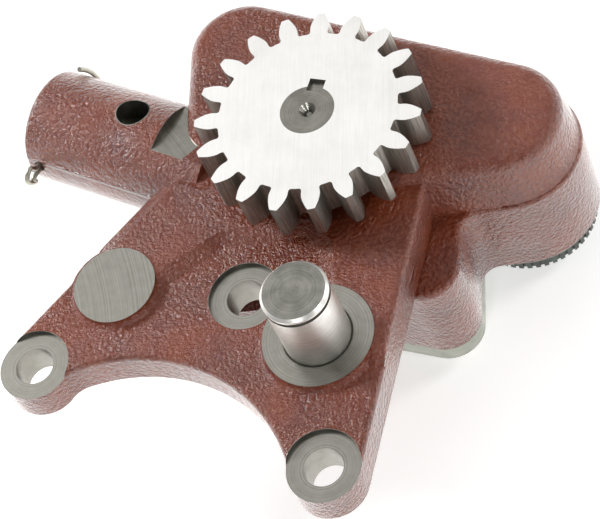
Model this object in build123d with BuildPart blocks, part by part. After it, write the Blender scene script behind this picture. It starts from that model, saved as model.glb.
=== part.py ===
from build123d import *
import os
from math import acos, atan2, cos, degrees, hypot, pi, radians, sin, sqrt, tan

# Engine oil pump: a rotor pump in a cast housing, driven by a spur gear on top.
# Millimetres. The origin is on the axis of the idler shaft, in its machined boss face.
# Z runs up along the shafts, and the drive shaft stands straight behind, along Y.

os.makedirs("parts", exist_ok=True)

# Gear train: the idler gear's teeth set how far apart the two shafts stand
gear_module = 3.175
gear_teeth = 19
idler_teeth = 21
pressure_angle = radians(20)
gear_backlash = 0.10
tooth_root_radius = 0.8
gear_turn = 8.07
gear_width = 12.7
gear_underside = 3.45
drive = (0, gear_module * (gear_teeth + idler_teeth) / 2)

# Shafts, key and bushes
drive_shaft_radius = 7.94
running_clearance = 0.05
press_clearance = 0.01
bush_wall = 1.95
centre_drill_radius = 2.45
centre_drill_depth = 2.2
key_width = 4.76
key_outer_radius = 10.4
key_depth_in_shaft = 1.6
key_angle = 73
key_recess = 1.5
idler_radius = 9.525
idler_height = 24.2
idler_groove_width = 1.3
idler_groove_depth = 1.0
idler_groove_below_top = 1.6
idler_relief = 0.8

# Levels of the casting
plate_top = -2.4
plate_thickness = 12.1
seat_height = 0.8
seat_inset = 0.4
raised_top = -0.3
dome_top = 2.6
joint_face = -45.0
spot_face = -3.85
plate_underside = plate_top - plate_thickness
plate_foot = plate_underside + seat_height

# Mounting plate with its lugs and the round clearance for the crankshaft
left_lug = (-84.0, 2.7)
right_lug = (1.4, -38.3)
inner_bolt = (-22.1, 16.6)
lug_radius = 10.4
spot_face_radius = 10.6
bolt_hole_radius = 5.6
crank_centre = (-58.8, -51.1)
crank_clearance_radius = 52.1
plate_left = (-20.0, 63.5)
plate_left_radius = 17.0
plate_right = (10.0, 63.5)
plate_right_radius = 23.8
lug_blend_radius = 9.0
plate_edge_radius = 1.6
raised_slope = 4.6
raised_corner_radius = 3.0
raised_corners = [
    (-65.0, 36.5),
    (-56.0, 17.0),
    (-46.5, 25.0),
    (-30.0, 35.0),
    (-4.0, 36.0),
    (1.5, 28.0),
    (2.5, 0.0),
    (15.5, -9.0),
    (38.0, -2.0),
    (44.0, 41.0),
    (36.0, 60.0),
    (-43.0, 60.0),
]

# Bosses on the plate
idler_boss_radius = 15.9
boss_foot = 2.2
pad = (-60.3, 24.0)
pad_radius = 12.15

# Rotors: a trochoid pair with one lobe fewer inside than outside
inner_lobes = 4
eccentricity = 3.2
lobe_circle_radius = 25.0
rotor_hub_wall = 4.36
rotor_clearance = 0.12
rotor_wall = 6.53
bore_clearance = 0.10
rotor_width = 24.9
end_clearance = 0.05
root_blend = 2.5
drive_pin_radius = 2.0

# Housing round the rotors
barrel_wall = 4.95
ear_reach = 8.8
ear_angle = -54.5
ear_radius = 10.0
low_ear_top = -28.0
ledge_radius = 1.5
web_blend_radius = 6.0
inlet_reach = 14.5
inlet_radius = 21.2
inlet_bore_radius = 15.0
inlet_roof = -3.0
passage_floor = -17.0
passage_roof = -4.0
passage_width = 20.0
passage_end = 14.0
dome_inset = 0.7
dome_draft = radians(9)
dome_edge_radius = 4.0
dome_back = (-25.5, 100.5)
dome_front = (-25.5, 73.0)
dome_corner_radius = 18.2
bearing_boss_radius = 13.0
gear_gap = 0.25
port_depth = 7.0
port_radius = 18.6
port_width = 7.4
port_spread = 118

# Relief valve: a plunger and spring in a tube cast onto the side of the housing
tube_angle = radians(-26.5)
tube_offset = 13.8
tube_level = -12.0
tube_radius = 16.9
tube_reach = 91.5
tube_root = 10.0
valve_bore_radius = 11.0
valve_bore_depth = 41.5
gallery_radius = 6.0
gallery_end = 12.0
plunger_clearance = 0.06
plunger_length = 20.0
plunger_crown = 4.0
plunger_wall = 2.7
plunger_travel = 9.0
cap_thickness = 4.0
cap_clearance = 0.2
cap_vent_radius = 3.0
spring_wire_radius = 1.0
spring_mean_radius = 6.8
spring_turns = 6
split_pin_inset = 5.0
split_pin_wire = 0.8
split_pin_tilt = radians(-10)
split_pin_hole_radius = 1.8
split_pin_bend = 1.6
split_pin_gap = 0.6
split_pin_leg_angles = (49, 24)
split_pin_half_gap = 0.02
split_pin_eye_gap = 0.8
split_pin_eye = 2.8
spill_offset = 8.5
spill_radius = 5.0
top_lean = radians(12)
flat_wall = 46.5
flat_end = 29.0
flat_height = 14.0
tube_crown_end = 0.8

# End cover and its fasteners
cover_thickness = 6.0
cover_edge = 0.6
delivery_radius = 6.5
delivery_reach = 18.6
screw_radius = 3.15
screw_hole_radius = 3.4
tapped_radius = 3.2
tapped_depth = 14.5
screw_length = 20.0
head_across_flats = 11.1
head_height = 4.0
washer_thickness = 1.2
washer_radius = 5.6
washer_bore_radius = 3.5
washer_split = 1.0
dowel_radius = 2.0
dowel_wall = 3.15
dowel_length = 9.0
cover_gap = 0.4

# Strainer crimped over the mouth of the inlet
strainer_radius = 19.6
strainer_depth = 6.0
strainer_sheet = 1.2
strainer_sleeve_rise = 5.0
strainer_lip = 3.8
crimp_count = 48
crimp_width = 1.1
crimp_depth = 0.7
gauze_thickness = 0.8

# Sizes that follow from the ones above
pitch_radius = gear_module * gear_teeth / 2
gear_tip_radius = pitch_radius + gear_module
gear_root_radius = pitch_radius - 1.25 * gear_module
base_radius = pitch_radius * cos(pressure_angle)
gear_top = gear_underside + gear_width
bush_bore = drive_shaft_radius + running_clearance
bush_radius = bush_bore + bush_wall
rotor_centre = (drive[0], drive[1] + eccentricity)
lobe_radius = lobe_circle_radius - eccentricity - drive_shaft_radius - rotor_hub_wall
outer_root_radius = lobe_circle_radius + 2 * eccentricity - lobe_radius + rotor_clearance
outer_rotor_radius = outer_root_radius + rotor_wall
chamber_radius = outer_rotor_radius + bore_clearance
barrel_radius = chamber_radius + eccentricity + barrel_wall
ear_circle_radius = barrel_radius + ear_reach
dowel_circle_radius = chamber_radius + eccentricity + dowel_radius + dowel_wall
inlet = (barrel_radius + inlet_reach, drive[1])
chamber_roof = joint_face + rotor_width + 2 * end_clearance
outer_lobes = inner_lobes + 1
cover_face = joint_face - cover_thickness
rotor_middle = joint_face + end_clearance + rotor_width / 2
washer_face = cover_face - washer_thickness
boss_top = gear_underside - gear_gap
shaft_foot = cover_face + 0.2
valve_seat = tube_reach - valve_bore_depth
spill_place = valve_seat + spill_offset
split_pin_place = tube_reach - split_pin_inset
split_pin_wrap = tube_radius + split_pin_wire + split_pin_gap
cap_outer = split_pin_place - split_pin_wire - 0.05
cap_inner = cap_outer - cap_thickness
plunger_radius = valve_bore_radius - plunger_clearance
tube_along = Vector(cos(tube_angle), sin(tube_angle), 0)
tube_across = Vector(-sin(tube_angle), cos(tube_angle), 0)
tube_centre = Vector(*drive, tube_level) - tube_across * tube_offset


def on_circle(centre, radius, angle):
    # point on a circle, with the angle in degrees
    turn = radians(angle)
    return (centre[0] + radius * cos(turn), centre[1] + radius * sin(turn))


def hull_of(*rounds):
    # outline pulled tight round some circles, each given as its centre and radius
    with BuildSketch() as outline:
        for centre, radius in rounds:
            with Locations(centre):
                Circle(radius)
        make_hull()
    return outline.sketch


def level(centre, height):
    # flat plane at a height, with its own origin over a centre
    return Plane(origin=(*centre, height))


def section(centre):
    # upright plane through a centre, its own X outward and its own Y up
    return Plane(origin=(*centre, 0), x_dir=(1, 0, 0), z_dir=(0, -1, 0))


def upright(centre):
    return Axis((*centre, 0), (0, 0, 1))


def tube_plane(distance, lean=0):
    # plane across the relief tube, facing back along it, that far out from the drive shaft;
    # its own X leans up by the angle given
    place = tube_centre - tube_along * distance
    across = tube_across * cos(lean) + Vector(0, 0, sin(lean))
    return Plane(origin=place, x_dir=across, z_dir=tube_along)


def flank_point(radius, side):
    # point of an involute tooth flank, on the tooth that stands on the X axis
    roll = acos(base_radius / radius)
    half_thickness = pi / (2 * gear_teeth) - gear_backlash / (2 * pitch_radius)
    turn = half_thickness + tan(pressure_angle) - pressure_angle - (tan(roll) - roll)
    return (radius * cos(turn), side * radius * sin(turn))


def trochoid_point(turn):
    # point of the inner rotor: the outer lobe's path round it, moved in by the lobe's radius
    x = lobe_circle_radius * cos(turn) - eccentricity * cos(outer_lobes * turn)
    y = lobe_circle_radius * sin(turn) - eccentricity * sin(outer_lobes * turn)
    dx = -lobe_circle_radius * sin(turn) + outer_lobes * eccentricity * sin(outer_lobes * turn)
    dy = lobe_circle_radius * cos(turn) - outer_lobes * eccentricity * cos(outer_lobes * turn)
    inward = (lobe_radius + rotor_clearance) / hypot(dx, dy)
    return (x - dy * inward, y + dx * inward)


def save(builder, name):
    builder.part.label = name
    export_step(builder.part, f"parts/{name}.step")


ears = [on_circle(drive, ear_circle_radius, ear_angle + quarter * 90) for quarter in range(4)]
dowels = [on_circle(drive, dowel_circle_radius, ear_angle + half * 180) for half in range(2)]
delivery = on_circle(drive, delivery_reach, 180)
barrel = (drive, barrel_radius)
ear_outlines = [hull_of(barrel, (ear, ear_radius)) for ear in ears]
inlet_outline = hull_of((inlet, inlet_radius), (drive, inlet_radius))
plate_hull = hull_of(
    (left_lug, lug_radius),
    (right_lug, lug_radius),
    (plate_left, plate_left_radius),
    (plate_right, plate_right_radius),
)
dome_height = dome_top - plate_underside
dome_rounds = (
    (inlet, inlet_radius - dome_inset),
    (drive, inlet_radius + dome_inset),
    (dome_back, dome_corner_radius),
    (dome_front, dome_corner_radius),
)
dome_foot = hull_of(*dome_rounds)
dome_crown = hull_of(*[(centre, radius - dome_height * tan(dome_draft)) for centre, radius in dome_rounds])

# Mounting plate, with the round clearance for the crankshaft between its two lugs
below_right_lug = (right_lug[0], right_lug[1] - 0.7 * lug_radius)
with BuildPart() as plate_form:
    with BuildSketch(Plane.XY.offset(plate_foot)) as plate_outline:
        add(plate_hull)
        with BuildLine():
            Polyline(
                left_lug,
                below_right_lug,
                (below_right_lug[0], below_right_lug[1] - crank_clearance_radius),
                (left_lug[0] - lug_radius, below_right_lug[1] - crank_clearance_radius),
                (left_lug[0] - lug_radius, left_lug[1] - 0.2 * lug_radius),
                close=True,
            )
        make_face(mode=Mode.SUBTRACT)
        with Locations(crank_centre):
            Circle(crank_clearance_radius, mode=Mode.SUBTRACT)
        with Locations(left_lug, right_lug):
            Circle(lug_radius)
        on_clearance = plate_outline.vertices().filter_by(
            lambda v: abs(hypot(v.X - crank_centre[0], v.Y - crank_centre[1]) - crank_clearance_radius) < 0.01
        )
        fillet(on_clearance, lug_blend_radius)
    extrude(amount=plate_top - plate_foot)
    fillet(plate_form.faces().sort_by(Axis.Z)[-1].outer_wire().edges(), plate_edge_radius)

# Raised band from the pad to the housing and down beside the idler boss: sloping walls, and
# its right side runs flush with the plate's edge
with BuildSketch() as raised_outline:
    with BuildLine():
        Polyline(*raised_corners, close=True)
    make_face()
    fillet(raised_outline.vertices(), raised_corner_radius)

with BuildPart() as raised_form:
    with BuildSketch(Plane.XY.offset(plate_foot)):
        add(raised_outline.sketch)
        offset(amount=raised_slope / 2)
    extrude(amount=plate_top - plate_foot)
    with BuildSketch(Plane.XY.offset(plate_top)):
        add(raised_outline.sketch)
        offset(amount=raised_slope / 2)
    with BuildSketch(Plane.XY.offset(raised_top)):
        add(raised_outline.sketch)
        offset(amount=-raised_slope / 2)
    loft(ruled=True)
    with BuildPart(mode=Mode.INTERSECT) as plate_block:
        with BuildSketch(Plane.XY.offset(plate_foot)):
            add(plate_hull)
        extrude(amount=raised_top - plate_foot)
        fillet(plate_block.faces().sort_by(Axis.Z)[-1].edges(), plate_edge_radius)

# Housing wall down to the joint face: full height at the inlet and the front ear
with BuildPart() as housing_form:
    with BuildSketch(Plane.XY.offset(joint_face)) as housing_outline:
        add(ear_outlines[0])
        add(inlet_outline)
        inner_corners = housing_outline.vertices().filter_by(
            lambda v: v.X > 0
            and barrel_radius - 2 < hypot(v.X - drive[0], v.Y - drive[1]) < ear_circle_radius
        )
        fillet(inner_corners, web_blend_radius)
    extrude(amount=plate_underside - joint_face)
    fillet(housing_form.faces().sort_by(Axis.Z)[-1].outer_wire().edges(), ledge_radius)

# Domed top over the suction passage
with BuildPart() as dome_form:
    with BuildSketch(Plane.XY.offset(plate_underside)):
        add(dome_foot)
    with BuildSketch(Plane.XY.offset(dome_top)):
        add(dome_crown)
    loft(ruled=True)
    fillet(dome_form.faces().sort_by(Axis.Z)[-1].edges(), dome_edge_radius)

# Relief valve tube, with its crown milled flat beside the gear
with BuildPart() as tube_form:
    with BuildSketch(tube_plane(tube_reach)):
        Circle(tube_radius)
    extrude(amount=tube_reach - tube_root)
    fillet(tube_form.edges().filter_by(GeomType.CIRCLE).sort_by(Axis.X)[0], plate_edge_radius)
    with BuildSketch(tube_plane(flat_wall, -top_lean)):
        with Locations((0, flat_height)):
            Rectangle(2 * tube_radius, tube_radius, align=(Align.CENTER, Align.MIN))
    extrude(amount=flat_wall - flat_end, mode=Mode.SUBTRACT)
    with BuildSketch(tube_plane(flat_end)):
        with Locations((0, tube_crown_end - tube_level)):
            Rectangle(2 * tube_radius, tube_radius, align=(Align.CENTER, Align.MIN))
    extrude(amount=flat_end - tube_root, mode=Mode.SUBTRACT)


# Round bosses on the plate, each with a flared foot
def flared_boss(centre, radius):
    with BuildPart() as boss:
        with BuildSketch(section(centre)):
            with BuildLine():
                Polyline(
                    (radius, plate_top + boss_foot),
                    (radius, 0),
                    (0, 0),
                    (0, plate_foot),
                    (radius + boss_foot, plate_foot),
                    (radius + boss_foot, plate_top),
                )
                RadiusArc((radius + boss_foot, plate_top), (radius, plate_top + boss_foot), boss_foot)
            make_face()
        revolve(axis=upright(centre))
    return boss.part


idler_boss = flared_boss((0, 0), idler_boss_radius)
pad_boss = flared_boss(pad, pad_radius)

# The casting: all its forms joined, then machined
with BuildPart() as pump_body:
    add(plate_form.part)
    add(raised_form.part)
    add(housing_form.part)
    add(dome_form.part)
    add(idler_boss)
    add(pad_boss)
    add(tube_form.part)
    with BuildSketch(Plane.XY.offset(joint_face)):
        for outline in ear_outlines[1:]:
            add(outline)
    extrude(amount=low_ear_top - joint_face)
    with BuildSketch(level(drive, plate_underside)):
        Circle(bearing_boss_radius)
    extrude(amount=boss_top - plate_underside)
    # seats that stand on the engine, round the three bolt holes
    with BuildSketch(Plane.XY.offset(plate_underside)):
        with Locations(left_lug, right_lug, inner_bolt):
            Circle(lug_radius - seat_inset)
    extrude(amount=seat_height)
    # spot faces and bolt holes
    with BuildSketch(Plane.XY.offset(spot_face)):
        with Locations(left_lug, right_lug, inner_bolt):
            Circle(spot_face_radius)
    extrude(amount=-spot_face, mode=Mode.SUBTRACT)
    with BuildSketch(Plane.XY.offset(plate_underside)):
        with Locations(left_lug, right_lug, inner_bolt):
            Circle(bolt_hole_radius)
    extrude(amount=plate_thickness, mode=Mode.SUBTRACT)
    # bore for the idler shaft, with its edge broken
    with BuildSketch(section((0, 0))):
        bore = idler_radius + press_clearance
        Polygon(
            (0, 0),
            (bore + idler_relief * 0.75, 0),
            (bore, -idler_relief * 0.75),
            (bore, plate_underside),
            (0, plate_underside),
            align=None,
        )
    revolve(axis=upright((0, 0)), mode=Mode.SUBTRACT)
    # bore for the shaft's bush
    with BuildSketch(level(drive, chamber_roof)):
        Circle(bush_radius + press_clearance)
    extrude(amount=boss_top - chamber_roof, mode=Mode.SUBTRACT)
    # rotor chamber and its two ports
    with BuildSketch(level(rotor_centre, joint_face)):
        Circle(chamber_radius)
    extrude(amount=chamber_roof - joint_face, mode=Mode.SUBTRACT)
    with BuildSketch(level(rotor_centre, chamber_roof)):
        for middle in (0, 180):
            SlotArc(CenterArc((0, 0), port_radius, middle - port_spread / 2, port_spread), port_width)
    extrude(amount=port_depth, mode=Mode.SUBTRACT)
    # inlet bore, and the passage from it to the suction port
    with BuildSketch(level(inlet, joint_face)):
        Circle(inlet_bore_radius)
    extrude(amount=inlet_roof - joint_face, mode=Mode.SUBTRACT)
    passage_centre = ((inlet[0] + passage_end) / 2, inlet[1])
    with BuildSketch(level(passage_centre, passage_floor)):
        SlotOverall(inlet[0] - passage_end + passage_width / 2, passage_width)
    extrude(amount=passage_roof - passage_floor, mode=Mode.SUBTRACT)
    # relief valve bore and the gallery from the delivery port
    with BuildSketch(tube_plane(tube_reach)):
        Circle(valve_bore_radius)
    extrude(amount=tube_reach - valve_seat, mode=Mode.SUBTRACT)
    with BuildSketch(tube_plane(valve_seat)):
        Circle(gallery_radius)
    extrude(amount=valve_seat - gallery_end, mode=Mode.SUBTRACT)
    # spill hole, leaning like the flat, and the split pin's hole right across
    spill_lean = tube_across * sin(top_lean) + Vector(0, 0, cos(top_lean))
    with BuildSketch(Plane(origin=tube_centre - tube_along * spill_place, z_dir=spill_lean)):
        Circle(spill_radius)
    extrude(amount=2 * tube_radius, mode=Mode.SUBTRACT)
    pin_lean = tube_across * cos(split_pin_tilt) + Vector(0, 0, sin(split_pin_tilt))
    with BuildSketch(Plane(origin=tube_centre - tube_along * split_pin_place, z_dir=pin_lean)):
        Circle(split_pin_hole_radius)
    extrude(amount=2 * tube_radius, both=True, mode=Mode.SUBTRACT)
    # tapped holes and dowel holes in the joint face
    with BuildSketch(Plane.XY.offset(joint_face)):
        with Locations(*ears):
            Circle(tapped_radius)
    extrude(amount=tapped_depth, mode=Mode.SUBTRACT)
    with BuildSketch(Plane.XY.offset(joint_face)):
        with Locations(*dowels):
            Circle(dowel_radius + press_clearance)
    extrude(amount=dowel_length / 2 + 0.2, mode=Mode.SUBTRACT)

save(pump_body, "pump_body")

# Drive gear, cut with involute teeth
flank_radii = [base_radius + (gear_tip_radius - base_radius) * step / 5 for step in range(6)]
with BuildSketch() as tooth:
    lower = [flank_point(radius, -1) for radius in flank_radii]
    upper = [flank_point(radius, 1) for radius in flank_radii]
    inward = (gear_root_radius - 1) / base_radius
    with BuildLine():
        Spline(*lower)
        Spline(*upper)
        ThreePointArc(lower[-1], (gear_tip_radius, 0), upper[-1])
        Polyline(
            lower[0],
            (lower[0][0] * inward, lower[0][1] * inward),
            (upper[0][0] * inward, upper[0][1] * inward),
            upper[0],
        )
    make_face()

with BuildPart() as drive_gear:
    with BuildSketch(level(drive, gear_underside)) as gear_outline:
        Circle(gear_root_radius)
        with PolarLocations(0, gear_teeth, start_angle=gear_turn):
            add(tooth.sketch)
        roots = gear_outline.vertices().filter_by(
            lambda v: abs(hypot(v.X, v.Y) - gear_root_radius) < 0.01
        )
        fillet(roots, tooth_root_radius)
        Circle(drive_shaft_radius + press_clearance, mode=Mode.SUBTRACT)
        with PolarLocations(0, 1, start_angle=key_angle):
            Rectangle(
                key_outer_radius + press_clearance,
                key_width + 2 * press_clearance,
                align=(Align.MIN, Align.CENTER),
                mode=Mode.SUBTRACT,
            )
    extrude(amount=gear_width)

save(drive_gear, "drive_gear")

# Key between gear and shaft, sunk below the gear's face
key_foot_radius = drive_shaft_radius - key_depth_in_shaft
with BuildPart() as gear_key:
    with BuildSketch(level(drive, gear_underside)):
        with PolarLocations(key_foot_radius, 1, start_angle=key_angle):
            Rectangle(key_outer_radius - key_foot_radius, key_width, align=(Align.MIN, Align.CENTER))
    extrude(amount=gear_width - key_recess)

save(gear_key, "gear_key")

# Drive shaft, from the gear's face down into the bush in the cover
with BuildPart() as drive_shaft:
    with BuildSketch(section(drive)):
        Polygon(
            (0, shaft_foot),
            (drive_shaft_radius - 0.6, shaft_foot),
            (drive_shaft_radius, shaft_foot + 0.6),
            (drive_shaft_radius, gear_top),
            (centre_drill_radius, gear_top),
            (centre_drill_radius * 0.3, gear_top - centre_drill_depth),
            (0, gear_top - centre_drill_depth),
            align=None,
        )
    revolve(axis=upright(drive))
    with BuildSketch(level(drive, gear_underside)):
        with PolarLocations(key_foot_radius - press_clearance, 1, start_angle=key_angle):
            Rectangle(
                drive_shaft_radius, key_width + 2 * press_clearance, align=(Align.MIN, Align.CENTER)
            )
    extrude(amount=gear_width, mode=Mode.SUBTRACT)
    with BuildSketch(Plane(origin=(*drive, rotor_middle), z_dir=(1, 0, 0))):
        Circle(drive_pin_radius + press_clearance)
    extrude(amount=drive_shaft_radius, both=True, mode=Mode.SUBTRACT)

save(drive_shaft, "drive_shaft")

# Inner rotor: the curve that the outer rotor's lobes leave it
rotor_foot = joint_face + end_clearance
steps = 28 * inner_lobes
with BuildPart() as inner_rotor:
    with BuildSketch(level(drive, rotor_foot)):
        with BuildLine():
            Spline(*[trochoid_point(2 * pi * step / steps) for step in range(steps)], periodic=True)
        make_face()
        Circle(drive_shaft_radius + press_clearance, mode=Mode.SUBTRACT)
    extrude(amount=rotor_width)
    with BuildSketch(Plane(origin=(*drive, rotor_middle), z_dir=(1, 0, 0))):
        Circle(drive_pin_radius + press_clearance)
    extrude(amount=lobe_circle_radius, both=True, mode=Mode.SUBTRACT)

save(inner_rotor, "inner_rotor")

with BuildPart() as rotor_drive_pin:
    with BuildSketch(Plane(origin=(*drive, rotor_middle), z_dir=(1, 0, 0))):
        Circle(drive_pin_radius)
    extrude(amount=lobe_circle_radius - eccentricity - lobe_radius - 0.8, both=True)
    chamfer(rotor_drive_pin.edges().filter_by(GeomType.CIRCLE), 0.4)

save(rotor_drive_pin, "rotor_drive_pin")

# Outer rotor: round lobes on a ring, with the corners between them blended
with BuildPart() as outer_rotor:
    with BuildSketch(level(rotor_centre, rotor_foot)) as outer_outline:
        Circle(outer_rotor_radius)
        Circle(outer_root_radius, mode=Mode.SUBTRACT)
        with PolarLocations(lobe_circle_radius, outer_lobes, start_angle=270):
            Circle(lobe_radius)
        Circle(outer_rotor_radius, mode=Mode.INTERSECT)
        corners = outer_outline.vertices().filter_by(
            lambda v: abs(hypot(v.X, v.Y) - outer_root_radius) < 0.01
        )
        fillet(corners, root_blend)
    extrude(amount=rotor_width)

save(outer_rotor, "outer_rotor")

# Idler shaft, pressed into the plate, with the groove for its snap ring left empty
groove_top = idler_height - idler_groove_below_top
with BuildPart() as idler_shaft:
    with BuildSketch(section((0, 0))):
        Polygon(
            (0, plate_underside + 0.2),
            (idler_radius - 0.8, plate_underside + 0.2),
            (idler_radius, plate_underside + 1.0),
            (idler_radius, -idler_relief),
            (idler_radius - 0.3, -idler_relief),
            (idler_radius - 0.3, 0),
            (idler_radius, 0),
            (idler_radius, groove_top - idler_groove_width),
            (idler_radius - idler_groove_depth, groove_top - idler_groove_width),
            (idler_radius - idler_groove_depth, groove_top),
            (idler_radius, groove_top),
            (idler_radius, idler_height - 0.8),
            (idler_radius - 0.8, idler_height),
            (0, idler_height),
            align=None,
        )
    revolve(axis=upright((0, 0)))

save(idler_shaft, "idler_shaft")


# Bushes that the drive shaft turns in: one in the housing, one in the cover
def bush(foot, head):
    with BuildPart() as ring:
        with BuildSketch(level(drive, foot)):
            Circle(bush_radius)
            Circle(bush_bore, mode=Mode.SUBTRACT)
        extrude(amount=head - foot)
        chamfer(ring.edges().filter_by(GeomType.CIRCLE), 0.3)
    return ring


save(bush(chamber_roof + 0.1, boss_top - 0.2), "shaft_bush")
save(bush(cover_face, joint_face - 0.1), "cover_bush")

# End cover under the rotors, cut round to clear the strainer
with BuildPart() as end_cover:
    with BuildSketch(Plane.XY.offset(cover_face)):
        for outline in ear_outlines:
            add(outline)
        with Locations(inlet):
            Circle(strainer_radius + cover_gap, mode=Mode.SUBTRACT)
    extrude(amount=cover_thickness)
    chamfer(end_cover.faces().sort_by(Axis.Z)[0].outer_wire().edges(), cover_edge)
    with BuildSketch(Plane.XY.offset(cover_face)):
        with Locations(*ears):
            Circle(screw_hole_radius)
        with Locations(drive):
            Circle(bush_radius + press_clearance)
        with Locations(delivery):
            Circle(delivery_radius)
    extrude(amount=cover_thickness, mode=Mode.SUBTRACT)
    with BuildSketch(Plane.XY.offset(joint_face)):
        with Locations(*dowels):
            Circle(dowel_radius + press_clearance)
    extrude(amount=-dowel_length / 2 - 0.2, mode=Mode.SUBTRACT)

save(end_cover, "end_cover")

# Cover screws: hexagon heads with their corners turned off
head_radius = head_across_flats / 2
with BuildPart() as screw:
    with BuildSketch(Plane.XY.offset(-head_height)):
        RegularPolygon(head_radius, 6, major_radius=False)
    extrude(amount=head_height)
    with BuildSketch(section((0, 0))):
        Polygon(
            (0, -head_height),
            (head_radius * 0.95, -head_height),
            (head_radius * 1.2, -head_height * 0.8),
            (head_radius * 1.2, 0),
            (0, 0),
            align=None,
        )
    revolve(axis=upright((0, 0)), mode=Mode.INTERSECT)
    with BuildSketch(Plane.XY):
        Circle(screw_radius)
    extrude(amount=screw_length)
    chamfer(screw.edges().sort_by(Axis.Z)[-1], 0.6)

with BuildPart() as cover_screws:
    with Locations(*[(*ear, washer_face) for ear in ears]):
        add(screw.part)

save(cover_screws, "cover_screws")

# Split lock washers under the screw heads
with BuildPart() as lock_washers:
    for ear in ears:
        with BuildSketch(level(ear, washer_face)):
            Circle(washer_radius)
            Circle(washer_bore_radius, mode=Mode.SUBTRACT)
            Rectangle(washer_radius, washer_split, align=(Align.MIN, Align.CENTER), mode=Mode.SUBTRACT)
        extrude(amount=washer_thickness)

save(lock_washers, "lock_washers")

with BuildPart() as cover_dowels:
    with BuildSketch(Plane.XY.offset(joint_face - dowel_length / 2)):
        with Locations(*dowels):
            Circle(dowel_radius)
    extrude(amount=dowel_length)
    chamfer(cover_dowels.edges().filter_by(GeomType.CIRCLE), 0.4)

save(cover_dowels, "cover_dowels")

# Relief plunger: a cup with its closed end on the seat
plunger_inner = plunger_radius - plunger_wall
with BuildPart() as relief_plunger:
    with BuildSketch(tube_plane(valve_seat + 0.1 + plunger_length)):
        Circle(plunger_radius)
    extrude(amount=plunger_length)
    with BuildSketch(tube_plane(valve_seat + 0.1 + plunger_length)):
        Circle(plunger_inner)
    extrude(amount=plunger_length - plunger_crown, mode=Mode.SUBTRACT)
    chamfer(relief_plunger.edges().filter_by(GeomType.CIRCLE), 0.4)

save(relief_plunger, "relief_plunger")

# Relief spring, from inside the plunger to the cap
spring_start = valve_seat + 0.1 + plunger_crown + spring_wire_radius + 0.1
spring_end = cap_inner - spring_wire_radius - 0.1
with BuildPart() as relief_spring:
    with BuildLine() as coil:
        Helix(
            (spring_end - spring_start) / spring_turns,
            spring_end - spring_start,
            spring_mean_radius,
            center=tube_centre - tube_along * spring_start,
            direction=-tube_along,
        )
    with BuildSketch(Plane(origin=coil.line @ 0, z_dir=coil.line % 0)):
        Circle(spring_wire_radius)
    sweep(path=coil.line, is_frenet=True)

save(relief_spring, "relief_spring")

with BuildPart() as relief_spring_cap:
    with BuildSketch(tube_plane(cap_outer)):
        Circle(valve_bore_radius - cap_clearance)
        Circle(cap_vent_radius, mode=Mode.SUBTRACT)
    extrude(amount=cap_thickness)
    chamfer(relief_spring_cap.edges().filter_by(GeomType.CIRCLE), 0.5)

save(relief_spring_cap, "relief_spring_cap")

# Split pin that keeps the cap in: an eye on one side, both legs bent round the tube on the other
leg = split_pin_wire + split_pin_half_gap
eye_start = -tube_radius - split_pin_eye_gap
bend_height = leg + split_pin_bend
bend_place = sqrt((split_pin_wrap - split_pin_bend) ** 2 - bend_height**2)
wrap_start = degrees(atan2(bend_height, bend_place))
with BuildPart() as flat_pin:
    with BuildLine() as pin_line:
        for side, leg_end in zip((1, -1), split_pin_leg_angles):
            CenterArc((0, 0), split_pin_wrap, side * wrap_start, side * (leg_end - wrap_start))
            CenterArc((bend_place, side * bend_height), split_pin_bend, -side * 90, side * (90 + wrap_start))
            Line((bend_place, side * leg), (eye_start, side * leg))
        Spline(
            (eye_start, leg),
            (eye_start - split_pin_eye, split_pin_eye),
            (eye_start - 2 * split_pin_eye, 0),
            (eye_start - split_pin_eye, -split_pin_eye),
            (eye_start, -leg),
            tangents=((-1, 0), (1, 0)),
        )
    pin_wire = pin_line.wire()
    with BuildSketch(Plane(origin=pin_wire @ 0, z_dir=pin_wire % 0)):
        Circle(split_pin_wire)
    sweep(path=pin_wire)

with BuildPart() as relief_split_pin:
    with Locations(tube_plane(split_pin_place, split_pin_tilt).location):
        add(flat_pin.part)

save(relief_split_pin, "relief_split_pin")

# Strainer: a pressed ring that holds the gauze over the inlet, crimped round its edge
lip_radius = strainer_radius - strainer_lip
outer_inside = strainer_radius - strainer_sheet
sleeve_radius = inlet_bore_radius - 0.1
rim_top = joint_face - 0.05
rim_foot = joint_face - strainer_depth
with BuildPart() as strainer_rim:
    with BuildSketch(section(inlet)):
        Polygon(
            (sleeve_radius - strainer_sheet, rim_top - strainer_sheet),
            (outer_inside, rim_top - strainer_sheet),
            (outer_inside, rim_foot + strainer_sheet),
            (lip_radius, rim_foot + strainer_sheet),
            (lip_radius, rim_foot),
            (strainer_radius, rim_foot),
            (strainer_radius, rim_top),
            (sleeve_radius, rim_top),
            (sleeve_radius, rim_top + strainer_sleeve_rise),
            (sleeve_radius - strainer_sheet, rim_top + strainer_sleeve_rise),
            align=None,
        )
    revolve(axis=upright(inlet))
    with BuildSketch(level(inlet, rim_foot)):
        with PolarLocations(strainer_radius, crimp_count):
            Rectangle(2 * crimp_depth, crimp_width)
    extrude(amount=strainer_depth * 0.5, mode=Mode.SUBTRACT)

save(strainer_rim, "strainer_rim")

with BuildPart() as strainer_gauze:
    with BuildSketch(level(inlet, rim_foot + strainer_sheet + 0.02)):
        Circle(outer_inside - 0.1)
    extrude(amount=gauze_thickness)

save(strainer_gauze, "strainer_gauze")
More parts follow.
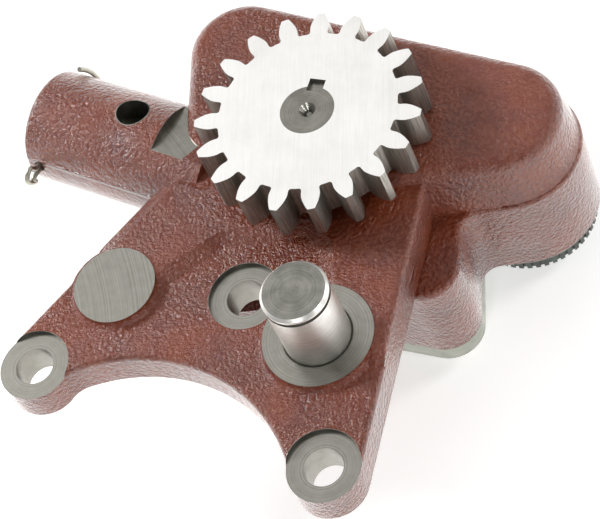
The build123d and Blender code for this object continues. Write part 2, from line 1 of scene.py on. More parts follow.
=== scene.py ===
import bpy
import math
from mathutils import Euler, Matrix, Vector


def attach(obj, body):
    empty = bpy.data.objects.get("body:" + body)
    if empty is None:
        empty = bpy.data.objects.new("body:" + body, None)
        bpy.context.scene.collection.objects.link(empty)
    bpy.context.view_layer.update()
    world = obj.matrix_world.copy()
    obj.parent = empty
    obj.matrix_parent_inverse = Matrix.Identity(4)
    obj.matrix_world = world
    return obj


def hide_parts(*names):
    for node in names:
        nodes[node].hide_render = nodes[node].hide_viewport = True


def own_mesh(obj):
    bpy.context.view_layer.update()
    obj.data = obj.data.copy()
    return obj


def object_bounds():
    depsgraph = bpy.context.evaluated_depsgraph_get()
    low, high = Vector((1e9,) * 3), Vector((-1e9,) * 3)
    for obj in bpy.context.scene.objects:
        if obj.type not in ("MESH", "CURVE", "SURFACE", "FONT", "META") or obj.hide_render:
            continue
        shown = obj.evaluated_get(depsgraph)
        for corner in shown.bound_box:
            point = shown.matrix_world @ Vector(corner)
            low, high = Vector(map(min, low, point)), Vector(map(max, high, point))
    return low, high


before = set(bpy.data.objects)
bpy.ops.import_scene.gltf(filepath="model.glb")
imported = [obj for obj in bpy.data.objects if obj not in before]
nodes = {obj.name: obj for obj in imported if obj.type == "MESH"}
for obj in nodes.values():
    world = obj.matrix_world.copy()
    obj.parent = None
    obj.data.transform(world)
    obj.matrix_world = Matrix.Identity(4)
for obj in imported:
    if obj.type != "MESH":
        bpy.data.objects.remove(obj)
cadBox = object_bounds()
mm = 0.001
levelOnly = (1, 1, 0)  # keeps a place's x and y
print("stage: frame loaded,", len(nodes), "nodes")


def hexColour(text):  # sRGB hex to the linear values that sockets take
    channels = [int(text[i:i + 2], 16) / 255 for i in (0, 2, 4)]
    linear = [c / 12.92 if c <= 0.04045 else ((c + 0.055) / 1.055) ** 2.4 for c in channels]
    return (*linear, 1.0)


def setSockets(tree, node, sockets):  # a socket takes a value, a hex colour, or what feeds it
    for key, value in sockets.items():
        named = (socket for socket in node.inputs if socket.enabled and socket.name == key)
        socket = node.inputs[key] if isinstance(key, int) else next(named)
        if isinstance(value, bpy.types.Node):
            value = next(output for output in value.outputs if output.enabled)
        if isinstance(value, bpy.types.NodeSocket):
            tree.links.new(value, socket)
        else:
            socket.default_value = hexColour(value) if isinstance(value, str) else value


def addNode(tree, kind, sockets=None, **settings):  # kind is the node's type after "ShaderNode"
    node = tree.nodes.new("ShaderNode" + kind)
    for name, value in settings.items():
        setattr(node, name, value)
    setSockets(tree, node, sockets or {})
    return node


def newMaterial(name):
    material = bpy.data.materials.new(name)
    material.use_nodes = True
    tree = material.node_tree
    return material, tree, tree.nodes["Principled BSDF"], addNode(tree, "TexCoord")


# The casting. Grey iron poured in green sand, then brushed with red-brown primer that dried glossy:
# the sand's grain stays under the paint and breaks its gloss into bright specks. What was machined
# after painting is bare iron, with the marks of the cutter: rings under a spot facer, long arcs
# under a face mill. Levels, radii and places below are in millimetres.
castingLook = {
    "paint": "7E3515",
    "paintThick": "5F210A",
    # the pale colour is thin primer on the grain's peaks, and also a painted highlight where the
    # grain catches the light
    "thinPaintAndPeakHighlight": "945036",
    "thinningAndHighlight": 0.4,  # how much of the pale colour the grain's peaks take: thin primer there, and a painted highlight
    "gloss": 0.45,
    "varnish": 0.6,
    "varnishRoughness": 0.07,
    "paintRoughness": {"From Min": 0.3, "From Max": 0.7, "To Min": 0.15, "To Max": 0.26},
    "bare": "9C9A92",
    "bareDull": "6A6861",
    "bareRoughness": {"To Min": 0.3, "To Max": 0.5},
    # the real sand is finer than this: it is as fine as the render can show
    "grain": {"Scale": 1 / (1.15 * mm), "Detail": 3.0, "Roughness": 0.55},
    "fineGrain": {"Scale": 1 / (0.55 * mm), "Detail": 2.0, "Roughness": 0.6},
    "grainHeight": 1.0,
    "fineGrainShare": 0.3,
    "grainPeaks": {"From Min": 0.44, "From Max": 0.66},
    # the primer runs thick and thin in patches, and drowns some of the grain where it is thick
    "patches": {"Scale": 1 / (17 * mm), "Detail": 3.0, "Roughness": 0.5},
    "patchSpread": {"From Min": 0.35, "From Max": 0.65},
    "patchDepth": {"From Min": 0.35, "From Max": 0.65, "To Min": 0.6},
    # the cutters' feed marks are a little coarser than real ones, to show
    "ringPitch": 0.42,
    "millPitch": 0.6,
    "cutterCentre": (-148.0, 2.0),
    "marks": {"Scale": 1.0, "Detail": 3.0, "Roughness": 0.7},
    "markSpread": {"From Min": 0.3, "From Max": 0.7},
    "markHeight": 0.012,
    "stains": {"Scale": 1 / (3.2 * mm), "Detail": 5.0, "Roughness": 0.62},
    "stainSpread": {"From Min": 0.4, "From Max": 0.75, "To Max": 0.45},
    "dulling": 0.5,
    "boltHoles": ((-84.0, 2.7), (1.4, -38.3), (-22.1, 16.6)),
    # what is machined at each bolt hole: radius, lowest and highest level
    "boltRounds": (
        (10.66, -3.95, 1.0),  # spot face
        (5.7, -15.0, -3.0),  # hole
        (10.1, -14.6, -14.4),  # seat underneath
    ),
    # the other machined rounds: centre, radius, lowest and highest level
    "rounds": (
        ((0, 0), 15.93, -0.12, 0.3),  # thrust face of the idler gear
        ((0, 0), 10.3, -1.2, 0.3),  # broken edge of the idler shaft's bore
        ((-60.3, 24.0), 12.18, -0.12, 0.3),  # pad
        ((0, 63.5), 13.1, 2.9, 3.4),  # boss under the drive gear
        ((0, 66.7), 28.8, -45.1, -19.8),  # rotor chamber
        ((51.3, 63.5), 15.1, -45.1, -2.9),  # inlet
        ((0, 63.5), 120.0, -45.1, -44.9),  # joint face of the end cover
    ),
    "pad": ((-60.3, 24.0), 12.2),
    # relief valve tube: a point of its axis, its angle, and the lean of its milled flat, in degrees
    "tubeCentre": (-6.157, 51.150, -12.0),
    "tubeAngle": -26.5,
    "flatLean": 12.0,
    "flatSlant": 0.29,
    "spillPlace": 58.5,
    # zones of the tube: what is measured there, and the limit that it has to be above or below
    "tubeZones": {
        "flat": (("height", "GREATER_THAN", 13.94), ("height", "LESS_THAN", 14.06),
                 ("slant", "GREATER_THAN", 33.9), ("out", "LESS_THAN", 46.55),
                 ("radial", "LESS_THAN", 17.1)),
        "flatWall": (("out", "GREATER_THAN", 46.45), ("out", "LESS_THAN", 46.55),
                     ("height", "GREATER_THAN", 14.0), ("radial", "LESS_THAN", 17.1)),
        "bore": (("radial", "LESS_THAN", 11.1), ("out", "GREATER_THAN", 12.0)),
        "spillHole": (("fromSpill", "LESS_THAN", 5.28), ("height", "GREATER_THAN", 0.0)),
        "mouth": (("out", "GREATER_THAN", 91.42),),
        "frontSide": (("side", "LESS_THAN", -12.0), ("radial", "LESS_THAN", 17.6)),
    },
    # the mould's parting line, which stands up a little: its height above the axis, and its width
    "partingHeight": 5.0,
    "partingWidth": 0.9,
    "partingRise": 1.1,
}
tubeTurn = math.radians(castingLook["tubeAngle"])
tubeAlong = Vector((-math.cos(tubeTurn), -math.sin(tubeTurn), 0))
tubeAcross = Vector((-math.sin(tubeTurn), math.cos(tubeTurn), 0))
tubeCentre = Vector(castingLook["tubeCentre"]) * mm


def castingMaterial(look):
    material, tree, shader, place = newMaterial("primedSandCastIron")
    objectPlace = place.outputs["Object"]
    apart = addNode(tree, "SeparateXYZ", {0: objectPlace})
    level = addNode(tree, "VectorMath", {0: objectPlace, 1: levelOnly}, operation="MULTIPLY")
    rounds = [*look["rounds"]]
    rounds += [(hole, *size) for hole in look["boltHoles"] for size in look["boltRounds"]]
    distances = {}
    for centre in (look["cutterCentre"], *(entry[0] for entry in rounds)):
        if centre not in distances:
            spot = (centre[0] * mm, centre[1] * mm, 0)
            distances[centre] = addNode(tree, "VectorMath", {0: level, 1: spot},
                                        operation="DISTANCE")

    # bare is 1 on machined iron and 0 on paint; it starts from the rounds
    bare = 0.0
    for centre, radius, low, high in rounds:
        inside = addNode(tree, "Math", {0: distances[centre], 1: radius * mm},
                         operation="LESS_THAN")
        middle, reach = (low + high) / 2 * mm, (high - low) / 2 * mm
        between = addNode(tree, "Math", {0: apart.outputs["Z"], 1: middle, 2: reach},
                          operation="COMPARE")
        zone = addNode(tree, "Math", {0: inside, 1: between}, operation="MULTIPLY")
        bare = addNode(tree, "Math", {0: bare, 1: zone}, operation="MAXIMUM")

    # places on the tube: out along it, to its side, up, and square to its milled flat
    lean = math.radians(look["flatLean"])
    upward = Vector((0, 0, 1))
    directions = {
        "out": tubeAlong,
        "side": tubeAcross,
        "up": upward,
        "height": tubeAcross * math.sin(lean) + upward * math.cos(lean),
        "shift": tubeAcross * math.cos(lean) - upward * math.sin(lean),
    }
    onTube = addNode(tree, "VectorMath", {0: objectPlace, 1: tubeCentre}, operation="SUBTRACT")
    places = {name: addNode(tree, "VectorMath", {0: onTube, 1: direction}, operation="DOT_PRODUCT")
              for name, direction in directions.items()}
    places["slant"] = addNode(tree, "Math", {
        0: places["side"], 1: look["flatSlant"], 2: places["out"]}, operation="MULTIPLY_ADD")
    pastSpill = addNode(tree, "Math", {0: places["out"], 1: look["spillPlace"] * mm},
                        operation="SUBTRACT")
    for name, first, second in (("radial", places["side"], places["up"]),
                                ("fromSpill", pastSpill, places["shift"])):
        offset = addNode(tree, "CombineXYZ", {0: first, 1: second})
        places[name] = addNode(tree, "VectorMath", {0: offset}, operation="LENGTH")
    zones = {}
    for name, tests in look["tubeZones"].items():
        zones[name] = 1.0
        for measured, test, limit in tests:
            passed = addNode(tree, "Math", {0: places[measured], 1: limit * mm}, operation=test)
            zones[name] = addNode(tree, "Math", {0: zones[name], 1: passed}, operation="MULTIPLY")
    onFlat = addNode(tree, "Math", {0: zones["flat"], 1: zones["flatWall"]}, operation="MAXIMUM")
    for zone in (onFlat, zones["bore"], zones["spillHole"], zones["mouth"]):
        bare = addNode(tree, "Math", {0: bare, 1: zone}, operation="MAXIMUM")

    # cutter marks: rings round the nearest spot face, and arcs over the pad and the tube's flat
    nearest = distances[(0, 0)]
    for hole in look["boltHoles"]:
        nearest = addNode(tree, "Math", {0: nearest, 1: distances[hole]}, operation="MINIMUM")
    rings = addNode(tree, "Math", {0: nearest, 1: 1 / (look["ringPitch"] * mm)},
                    operation="MULTIPLY")
    fromCutter = distances[look["cutterCentre"]]
    arcs = addNode(tree, "Math", {0: fromCutter, 1: 1 / (look["millPitch"] * mm)},
                   operation="MULTIPLY")
    padCentre, padRadius = look["pad"]
    onPad = addNode(tree, "Math", {0: distances[padCentre], 1: padRadius * mm},
                    operation="LESS_THAN")
    milled = addNode(tree, "Math", {0: onPad, 1: onFlat}, operation="MAXIMUM")
    course = addNode(tree, "Mix", {"Factor": milled, "A": rings, "B": arcs})
    marks = addNode(tree, "TexNoise", {"W": course, **look["marks"]}, noise_dimensions="1D")
    stains = addNode(tree, "TexNoise", {"Vector": objectPlace, **look["stains"]})
    markShare = addNode(tree, "MapRange", {"Value": marks, **look["markSpread"]})
    stainShare = addNode(tree, "MapRange", {"Value": stains, **look["stainSpread"]})
    wear = addNode(tree, "Math", {0: markShare, 1: stainShare}, operation="ADD")
    dull = addNode(tree, "Math", {0: wear, 1: look["dulling"]}, operation="MULTIPLY")
    bareColour = addNode(tree, "Mix", {"Factor": dull, "A": look["bare"], "B": look["bareDull"]},
                         data_type="RGBA")

    # the grain and the parting line make the relief under the paint
    grain = addNode(tree, "TexNoise", {"Vector": objectPlace, **look["grain"]})
    fineGrain = addNode(tree, "TexNoise", {"Vector": objectPlace, **look["fineGrain"]})
    patches = addNode(tree, "TexNoise", {"Vector": objectPlace, **look["patches"]})
    bothGrains = addNode(tree, "Math", {0: fineGrain, 1: look["fineGrainShare"], 2: grain},
                         operation="MULTIPLY_ADD")
    depth = addNode(tree, "MapRange", {"Value": patches, **look["patchDepth"]})
    sand = addNode(tree, "Math", {0: bothGrains, 1: depth}, operation="MULTIPLY")
    fromParting = addNode(tree, "Math", {0: places["up"], 1: look["partingHeight"] * mm},
                          operation="SUBTRACT")
    offParting = addNode(tree, "Math", {0: fromParting}, operation="ABSOLUTE")
    ridge = addNode(tree, "MapRange", {
        "Value": offParting, "From Max": look["partingWidth"] * mm, "To Min": 1.0, "To Max": 0.0},
        interpolation_type="SMOOTHSTEP")
    parting = addNode(tree, "Math", {0: ridge, 1: zones["frontSide"]}, operation="MULTIPLY")
    relief = addNode(tree, "Math", {0: parting, 1: look["partingRise"], 2: sand},
                     operation="MULTIPLY_ADD")

    # the paint's colour: darker where it is thick, paler on the grain's peaks, for thin primer
    # there and as a painted highlight of their lit sides
    patchShare = addNode(tree, "MapRange", {"Value": patches, **look["patchSpread"]})
    peaks = addNode(tree, "MapRange", {"Value": grain, **look["grainPeaks"]})
    thinnedAndHighlighted = addNode(tree, "Math", {0: peaks, 1: look["thinningAndHighlight"]}, operation="MULTIPLY")
    paint = addNode(tree, "Mix", {
        "Factor": patchShare, "A": look["paintThick"], "B": look["paint"]}, data_type="RGBA")
    paintWithPaleLitPeaks = addNode(tree, "Mix", {"Factor": thinnedAndHighlighted, "A": paint, "B": look["thinPaintAndPeakHighlight"]},
                   data_type="RGBA")
    colour = addNode(tree, "Mix", {"Factor": bare, "A": paintWithPaleLitPeaks, "B": bareColour}, data_type="RGBA")

    paintRoughness = addNode(tree, "MapRange", {"Value": patches, **look["paintRoughness"]})
    bareRoughness = addNode(tree, "MapRange", {"Value": dull, **look["bareRoughness"]})
    roughness = addNode(tree, "Mix", {"Factor": bare, "A": paintRoughness, "B": bareRoughness})
    painted = addNode(tree, "Math", {0: 1.0, 1: bare}, operation="SUBTRACT")
    varnish = addNode(tree, "Math", {0: painted, 1: look["varnish"]}, operation="MULTIPLY")
    grainBump = addNode(tree, "Bump", {
        "Strength": painted, "Distance": look["grainHeight"] * mm, "Height": relief})
    markBump = addNode(tree, "Bump", {
        "Strength": bare, "Distance": look["markHeight"] * mm, "Height": marks,
        "Normal": grainBump})
    setSockets(tree, shader, {
        "Base Color": colour, "Metallic": bare, "Roughness": roughness, "Normal": markBump,
        "Specular IOR Level": look["gloss"], "Coat Weight": varnish,
        "Coat Roughness": look["varnishRoughness"], "Coat Normal": markBump})
    return material


# Turned and ground metals. A lathe or grinder leaves fine lines round the piece, and rings on its
# end: they stretch the highlight, and handling leaves dull patches on them. The real lines are
# finer on most of these, and are drawn this coarse to show. Centres, pitches and heights are in
# millimetres.
turnedLooks = {
    "turnedShaftSteel": {
        "side": "A6A49D", "sideDull": "7E7C75", "end": "8E8C84", "endDull": "65635C",
        "centre": (0, 63.5), "pitch": 0.35, "height": 0.006, "rough": (0.26, 0.42)},
    "groundIdlerSteelPaintedReflection": {
        # the idler shaft's near-white side is a painted reflection of the bright floor beside it
        "side": "F0EEE9", "sideDull": "C4C2BC", "end": "9A9891", "endDull": "65645E",
        "centre": (0, 0), "pitch": 0.8, "height": 0.006, "rough": (0.34, 0.48)},
    "groundRotorSteel": {
        "side": "8B8B8A", "sideDull": "6B6B6A", "end": "8F8F8D", "endDull": "727270",
        "centre": (0, 63.5), "pitch": 0.3, "height": 0.005, "rough": (0.3, 0.45)},
    "facedGreyIron": {
        "side": "9C9E94", "sideDull": "7C7E75", "end": "A2A49A", "endDull": "82847B",
        "centre": (-6, 63.5), "pitch": 0.6, "height": 0.010, "rough": (0.36, 0.52)},
    "zincPlatedSteel": {
        "side": "B5B3A6", "sideDull": "918F84", "end": "B9B7AA", "endDull": "96948A",
        "centre": (20, 40), "pitch": 0.5, "height": 0.004, "rough": (0.3, 0.44)},
    "bearingBronze": {
        "side": "A98552", "sideDull": "86673C", "end": "AD8956", "endDull": "8A6B40",
        "centre": (0, 63.5), "pitch": 0.25, "height": 0.005, "rough": (0.26, 0.4)},
    "hardenedOilySteel": {
        "side": "4C4D47", "sideDull": "353630", "end": "50514A", "endDull": "3A3B35",
        "centre": (-60, 80), "pitch": 0.4, "height": 0.005, "rough": (0.25, 0.42)},
}
turnedWear = {  # how lines and dull patches spread on all of them
    "endFacing": {"From Min": 0.7, "From Max": 0.8},
    "lines": {"Scale": 1.0, "Detail": 3.0, "Roughness": 0.65},
    "lineSpread": {"From Min": 0.25, "From Max": 0.75, "To Max": 0.5},
    "smears": {"Scale": 1 / (5 * mm), "Detail": 5.0, "Roughness": 0.6},
    "smearSpread": {"From Min": 0.35, "From Max": 0.75, "To Max": 0.6},
}


def turnedMaterial(name, look, wear):
    material, tree, shader, place = newMaterial(name)
    objectPlace = place.outputs["Object"]
    apart = addNode(tree, "SeparateXYZ", {0: objectPlace})
    facing = addNode(tree, "SeparateXYZ", {0: place.outputs["Normal"]})
    upright = addNode(tree, "Math", {0: facing.outputs["Z"]}, operation="ABSOLUTE")
    onEnd = addNode(tree, "MapRange", {"Value": upright, **wear["endFacing"]})
    level = addNode(tree, "VectorMath", {0: objectPlace, 1: levelOnly}, operation="MULTIPLY")
    x, y = look["centre"]
    fromCentre = addNode(tree, "VectorMath", {0: level, 1: (x * mm, y * mm, 0)},
                         operation="DISTANCE")
    course = addNode(tree, "Mix", {"Factor": onEnd, "A": apart.outputs["Z"], "B": fromCentre})
    count = addNode(tree, "Math", {0: course, 1: 1 / (look["pitch"] * mm)}, operation="MULTIPLY")
    lines = addNode(tree, "TexNoise", {"W": count, **wear["lines"]}, noise_dimensions="1D")
    smears = addNode(tree, "TexNoise", {"Vector": objectPlace, **wear["smears"]})
    lineShare = addNode(tree, "MapRange", {"Value": lines, **wear["lineSpread"]})
    smearShare = addNode(tree, "MapRange", {"Value": smears, **wear["smearSpread"]})
    dull = addNode(tree, "Math", {0: lineShare, 1: smearShare}, operation="ADD")
    sideColour = addNode(tree, "Mix", {"Factor": dull, "A": look["side"], "B": look["sideDull"]},
                         data_type="RGBA")
    endColour = addNode(tree, "Mix", {"Factor": dull, "A": look["end"], "B": look["endDull"]},
                        data_type="RGBA")
    colour = addNode(tree, "Mix", {"Factor": onEnd, "A": sideColour, "B": endColour},
                     data_type="RGBA")
    smooth, rough = look["rough"]
    roughness = addNode(tree, "MapRange", {"Value": dull, "To Min": smooth, "To Max": rough})
    bump = addNode(tree, "Bump", {
        "Strength": 1.0, "Distance": look["height"] * mm, "Height": lines})
    setSockets(tree, shader, {
        "Base Color": colour, "Metallic": 1.0, "Roughness": roughness, "Normal": bump})
    return material


# The gear. Its faces are surface ground, nearly white with faint scratches and oil smears. Its
# teeth are hobbed and shaved, so their flanks carry fine lines along the shaft; their greyer colour
# is painted shade, for the dark surroundings that they mirror.
# Scratches and lines are coarser than real ones, which are too fine to show.
gearLook = {
    "face": "F1F0ED",
    "faceDull": "D9D7D3",
    "faceRoughness": {"To Min": 0.4, "To Max": 0.5},
    # the flank colours are darker than the face's as painted shade of what the flanks mirror
    "flank": "C4C0B8",
    "flankDull": "7E7B74",
    "flankRoughness": {"To Min": 0.36, "To Max": 0.52},
    "faceFacing": {"From Min": 0.7, "From Max": 0.8},
    "grindTurn": 64,  # degrees round the shaft
    "grindStretch": (1, 0.04, 1),  # scratches lie across the face
    "lineStretch": (1, 1, 0.05),  # lines run down the flanks
    "scratches": {"Scale": 1 / (0.5 * mm), "Detail": 4.0, "Roughness": 0.7},
    "scratchSpread": {"From Min": 0.35, "From Max": 0.75, "To Max": 0.35},
    "lines": {"Scale": 1 / (0.42 * mm), "Detail": 3.0, "Roughness": 0.7},
    "lineSpread": {"From Min": 0.3, "From Max": 0.7},
    "smears": {"Scale": 1 / (11 * mm), "Detail": 6.0, "Roughness": 0.62},
    "smearSpread": {"From Min": 0.42, "From Max": 0.72, "To Max": 0.3},
    "lineHeight": 0.02,
    "faceBump": {"To Min": 1.0, "To Max": 0.15},  # strength on the flanks and on the faces
}


def gearMaterial(look):
    material, tree, shader, place = newMaterial("groundGearSteel")
    objectPlace = place.outputs["Object"]
    facing = addNode(tree, "SeparateXYZ", {0: place.outputs["Normal"]})
    upright = addNode(tree, "Math", {0: facing.outputs["Z"]}, operation="ABSOLUTE")
    onFace = addNode(tree, "MapRange", {"Value": upright, **look["faceFacing"]})
    grindPlace = addNode(tree, "Mapping", {
        "Vector": objectPlace, "Rotation": (0, 0, math.radians(look["grindTurn"])),
        "Scale": look["grindStretch"]})
    scratches = addNode(tree, "TexNoise", {"Vector": grindPlace, **look["scratches"]})
    flankPlace = addNode(tree, "Mapping", {"Vector": objectPlace, "Scale": look["lineStretch"]})
    lines = addNode(tree, "TexNoise", {"Vector": flankPlace, **look["lines"]})
    smears = addNode(tree, "TexNoise", {"Vector": objectPlace, **look["smears"]})
    smearShare = addNode(tree, "MapRange", {"Value": smears, **look["smearSpread"]})
    scratchShare = addNode(tree, "MapRange", {"Value": scratches, **look["scratchSpread"]})
    faceWear = addNode(tree, "Math", {0: smearShare, 1: scratchShare}, operation="ADD")
    flankWear = addNode(tree, "MapRange", {"Value": lines, **look["lineSpread"]})
    faceColour = addNode(tree, "Mix", {
        "Factor": faceWear, "A": look["face"], "B": look["faceDull"]}, data_type="RGBA")
    flankColourPaintedShade = addNode(tree, "Mix", {
        "Factor": flankWear, "A": look["flank"], "B": look["flankDull"]}, data_type="RGBA")
    colour = addNode(tree, "Mix", {"Factor": onFace, "A": flankColourPaintedShade, "B": faceColour},
                     data_type="RGBA")
    faceRoughness = addNode(tree, "MapRange", {"Value": faceWear, **look["faceRoughness"]})
    flankRoughness = addNode(tree, "MapRange", {"Value": flankWear, **look["flankRoughness"]})
    roughness = addNode(tree, "Mix", {"Factor": onFace, "A": flankRoughness, "B": faceRoughness})
    height = addNode(tree, "Mix", {"Factor": onFace, "A": lines, "B": scratches})
    reach = addNode(tree, "MapRange", {"Value": onFace, **look["faceBump"]})
    bump = addNode(tree, "Bump", {
        "Strength": reach, "Distance": look["lineHeight"] * mm, "Height": height})
    setSockets(tree, shader, {
        "Base Color": colour, "Metallic": 1.0, "Roughness": roughness, "Normal": bump})
    return material


# The strainer's ring: pressed sheet steel, phosphated and oiled, which dries blotchy black-green.
# Its crystals are far coarser than real ones, which are too fine to show.
rimLook = {
    "colour": "20261F",
    "pale": "465048",
    "metal": 0.35,  # the crystals cover most of the steel
    "crystals": {"Scale": 1 / (0.5 * mm), "Detail": 3.0, "Roughness": 0.7},
    "crystalHeight": 0.02,
    "blotches": {"Scale": 1 / (4 * mm), "Detail": 4.0},
    "blotchSpread": {"From Min": 0.4, "From Max": 0.7},
    "roughness": {"From Min": 0.3, "From Max": 0.7, "To Min": 0.3, "To Max": 0.55},
}


def phosphatedMaterial(look):
    material, tree, shader, place = newMaterial("phosphatedSheetSteel")
    objectPlace = place.outputs["Object"]
    crystals = addNode(tree, "TexNoise", {"Vector": objectPlace, **look["crystals"]})
    blotches = addNode(tree, "TexNoise", {"Vector": objectPlace, **look["blotches"]})
    share = addNode(tree, "MapRange", {"Value": blotches, **look["blotchSpread"]})
    colour = addNode(tree, "Mix", {"Factor": share, "A": look["colour"], "B": look["pale"]},
                     data_type="RGBA")
    roughness = addNode(tree, "MapRange", {"Value": crystals, **look["roughness"]})
    bump = addNode(tree, "Bump", {
        "Strength": 1.0, "Distance": look["crystalHeight"] * mm, "Height": crystals})
    setSockets(tree, shader, {
        "Base Color": colour, "Metallic": look["metal"], "Roughness": roughness, "Normal": bump})
    return material


# The gauze: plain-woven steel wire. Wires pass over and under each other; the holes between are
# painted shade, near black, for the dark passage behind them.
# The wires are set as wide apart as the render needs to show them.
gauzeLook = {
    "wire": "8D8E87",
    # the hole colour is painted shade of the passage behind the wires
    "hole": "161714",
    "metal": 0.85,
    "wirePitch": 1.5,
    "weave": 0.3,  # how much the wires rise and dip where they cross
    "wireEdge": {"From Min": 0.55, "From Max": 0.75},
    "roughness": {"To Min": 0.7, "To Max": 0.35},
    "wireHeight": 0.35,
}


def gauzeMaterial(look):
    material, tree, shader, place = newMaterial("wovenWireGauze")
    apart = addNode(tree, "SeparateXYZ", {0: place.outputs["Object"]})
    waves = []
    for axis in ("X", "Y"):
        turns = addNode(tree, "Math", {
            0: apart.outputs[axis], 1: math.pi / (look["wirePitch"] * mm)}, operation="MULTIPLY")
        waves.append(addNode(tree, "Math", {0: turns}, operation="SINE"))
    wires = [addNode(tree, "Math", {0: wave}, operation="ABSOLUTE") for wave in waves]
    over = addNode(tree, "Math", {0: waves[0], 1: waves[1]}, operation="MULTIPLY")
    top = addNode(tree, "Math", {0: wires[0], 1: wires[1]}, operation="MAXIMUM")
    height = addNode(tree, "Math", {0: over, 1: look["weave"], 2: top}, operation="MULTIPLY_ADD")
    share = addNode(tree, "MapRange", {"Value": top, **look["wireEdge"]})
    colour = addNode(tree, "Mix", {"Factor": share, "A": look["hole"], "B": look["wire"]},
                     data_type="RGBA")
    roughness = addNode(tree, "MapRange", {"Value": share, **look["roughness"]})
    bump = addNode(tree, "Bump", {
        "Strength": 1.0, "Distance": look["wireHeight"] * mm, "Height": height})
    setSockets(tree, shader, {
        "Base Color": colour, "Metallic": look["metal"], "Roughness": roughness, "Normal": bump})
    return material


turned = {name: turnedMaterial(name, look, turnedWear) for name, look in turnedLooks.items()}
finishes = {
    "pump_body": castingMaterial(castingLook),
    "drive_gear": gearMaterial(gearLook),
    "drive_shaft": turned["turnedShaftSteel"],
    "gear_key": turned["turnedShaftSteel"],
    "inner_rotor": turned["groundRotorSteel"],
    "outer_rotor": turned["groundRotorSteel"],
    "rotor_drive_pin": turned["turnedShaftSteel"],
    "end_cover": turned["facedGreyIron"],
    "cover_screws": turned["zincPlatedSteel"],
    "lock_washers": turned["zincPlatedSteel"],
    "cover_dowels": turned["turnedShaftSteel"],
    "shaft_bush": turned["bearingBronze"],
    "cover_bush": turned["bearingBronze"],
    "idler_shaft": turned["groundIdlerSteelPaintedReflection"],
    "relief_plunger": turned["hardenedOilySteel"],
    "relief_spring": turned["hardenedOilySteel"],
    "relief_spring_cap": turned["zincPlatedSteel"],
    "relief_split_pin": turned["zincPlatedSteel"],
    "strainer_rim": phosphatedMaterial(rimLook),
    "strainer_gauze": gauzeMaterial(gauzeLook),
}
for name, material in finishes.items():
    mesh = nodes[name].data
    mesh.materials.clear()
    mesh.materials.append(material)
print("stage: finishes given")

# The relief spring: the CAD coil, merged, on its own mesh under the housing.
# Places along the tube are in millimetres.
springLook = {
    "capEnd": 81.545,
    "plungerEnd": 54.207,
    "travel": 9.0,
    "mergeDistance": 0.001,
}
bpy.ops.object.select_all(action="DESELECT")
spring = bpy.data.objects.new("reliefCoilSpring", nodes["relief_spring"].data.copy())
bpy.context.collection.objects.link(spring)
bpy.context.view_layer.objects.active = spring
spring.select_set(True)
bpy.ops.object.mode_set(mode="EDIT")
bpy.ops.mesh.select_all(action="SELECT")
bpy.ops.mesh.remove_doubles(threshold=springLook["mergeDistance"] * mm)
bpy.ops.object.mode_set(mode="OBJECT")
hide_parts("relief_spring")
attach(spring, "housing")
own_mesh(spring)

# The studio: a white floor in an even room, a bright panel behind that the level metal mirrors, a
# dark one where the photographer stands, and four small lamps. The key lamp is low on the left, so
# the casting's grain has a light and a dark side. Places and sizes are in metres.
studioLook = {
    "floor": "F4F4F3",
    "floorSize": 6,
    "floorRoughness": 0.9,
    "floorSeen": 0.45,
    "farFloorSeen": 1.0,
    "floorBrightens": (0.25, 0.8),
    "floorMirrored": 1.1,
    "white": "FFFFFF",
    "room": 0.35,
    "roomSeen": 1.0,
    # panels: middle, cosines at the rim and at the core, brightness
    "panels": (
        ((-0.12, 0.62, 0.78), 0.90, 0.96, 1.32),
        ((0.24, -0.50, 0.83), 0.80, 0.97, 0.1),
    ),
    "lamps": {
        "keyLamp": {"place": (-0.74, 0.31, 0.50), "size": 0.2, "power": 6.4},
        "frontLamp": {"place": (-0.05, -0.80, 0.40), "size": 0.16, "power": 1.7},
        "rightLamp": {"place": (0.66, -0.35, 0.38), "size": 0.16, "power": 1.3},
        "sideLamp": {"place": (0.75, 0.30, 0.40), "size": 0.25, "power": 2.2},
    },
    "aim": (-0.01, 0.04, 0),
}
bpy.ops.object.select_all(action="DESELECT")
bpy.ops.mesh.primitive_plane_add(size=studioLook["floorSize"], location=(0, 0, cadBox[0].z))
floor = bpy.context.object
floor.name = "floor"
material, tree, shader, place = newMaterial("paleStudioFloor")
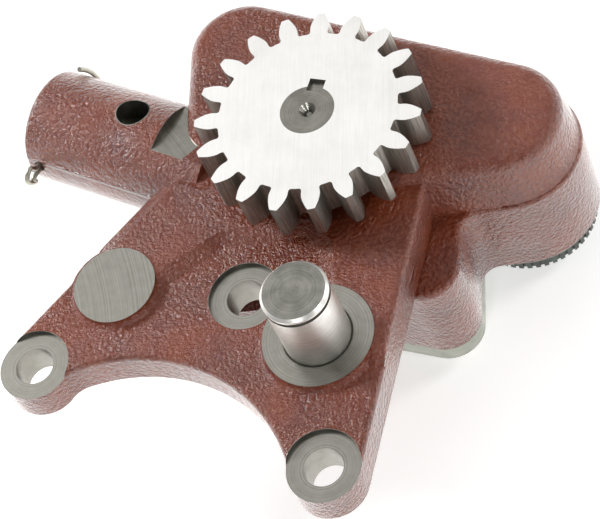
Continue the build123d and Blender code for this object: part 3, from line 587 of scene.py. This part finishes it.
# such a photograph is exposed until its floor is white, so seen and mirrored the floor glows, and
# more so further off, past the object's shadow; the glow is for those rays and lights nothing
rays = addNode(tree, "LightPath")
away = addNode(tree, "VectorMath", {0: place.outputs["Object"]}, operation="LENGTH")
nearEdge, farEdge = studioLook["floorBrightens"]
seen = addNode(tree, "MapRange", {
    "Value": away, "From Min": nearEdge, "From Max": farEdge,
    "To Min": studioLook["floorSeen"], "To Max": studioLook["farFloorSeen"]},
    interpolation_type="SMOOTHSTEP")
mirrored = addNode(tree, "Math", {0: rays.outputs["Is Glossy Ray"], 1: studioLook["floorMirrored"]},
                   operation="MULTIPLY")
glow = addNode(tree, "Math", {0: rays.outputs["Is Camera Ray"], 1: seen, 2: mirrored},
               operation="MULTIPLY_ADD")
setSockets(tree, shader, {
    "Base Color": studioLook["floor"], "Roughness": studioLook["floorRoughness"],
    "Emission Color": studioLook["white"], "Emission Strength": glow})
floor.data.materials.append(material)

world = bpy.data.worlds.new("studio")
bpy.context.scene.world = world
world.use_nodes = True
sky = world.node_tree
skyPlace = addNode(sky, "TexCoord")
brightness = studioLook["room"]
for middle, rim, core, panelBrightness in studioLook["panels"]:
    facing = addNode(sky, "VectorMath", {0: skyPlace.outputs["Generated"], 1: middle},
                     operation="DOT_PRODUCT")
    panel = addNode(sky, "MapRange", {"Value": facing, "From Min": rim, "From Max": core},
                    interpolation_type="SMOOTHSTEP")
    brightness = addNode(sky, "Mix", {"Factor": panel, "A": brightness, "B": panelBrightness})
rays = addNode(sky, "LightPath")
shown = addNode(sky, "Mix", {
    "Factor": rays.outputs["Is Camera Ray"], "A": brightness, "B": studioLook["roomSeen"]})
setSockets(sky, sky.nodes["Background"], {"Color": studioLook["white"], "Strength": shown})

aim = Vector(studioLook["aim"])
for name, lamp in studioLook["lamps"].items():
    data = bpy.data.lights.new(name, "AREA")
    data.size = lamp["size"]
    data.energy = lamp["power"]
    light = bpy.data.objects.new(name, data)
    light.location = lamp["place"]
    light.rotation_euler = (aim - Vector(lamp["place"])).to_track_quat("-Z", "Y").to_euler()
    bpy.context.collection.objects.link(light)

cameraLook = {
    "place": (0.15173, -0.30940, 0.52707),
    "turn": (0.553006, 0.274877, 0.025779),
    "lens": 138.96,
    "sensor": 36,
}
cameraData = bpy.data.cameras.new("camera")
cameraData.lens = cameraLook["lens"]
cameraData.sensor_width = cameraLook["sensor"]
camera = bpy.data.objects.new("camera", cameraData)
camera.location = cameraLook["place"]
camera.rotation_euler = Euler(cameraLook["turn"], "XYZ")
bpy.context.collection.objects.link(camera)
scene = bpy.context.scene
scene.camera = camera
scene.view_settings.view_transform = "Standard"
print("stage: studio set")
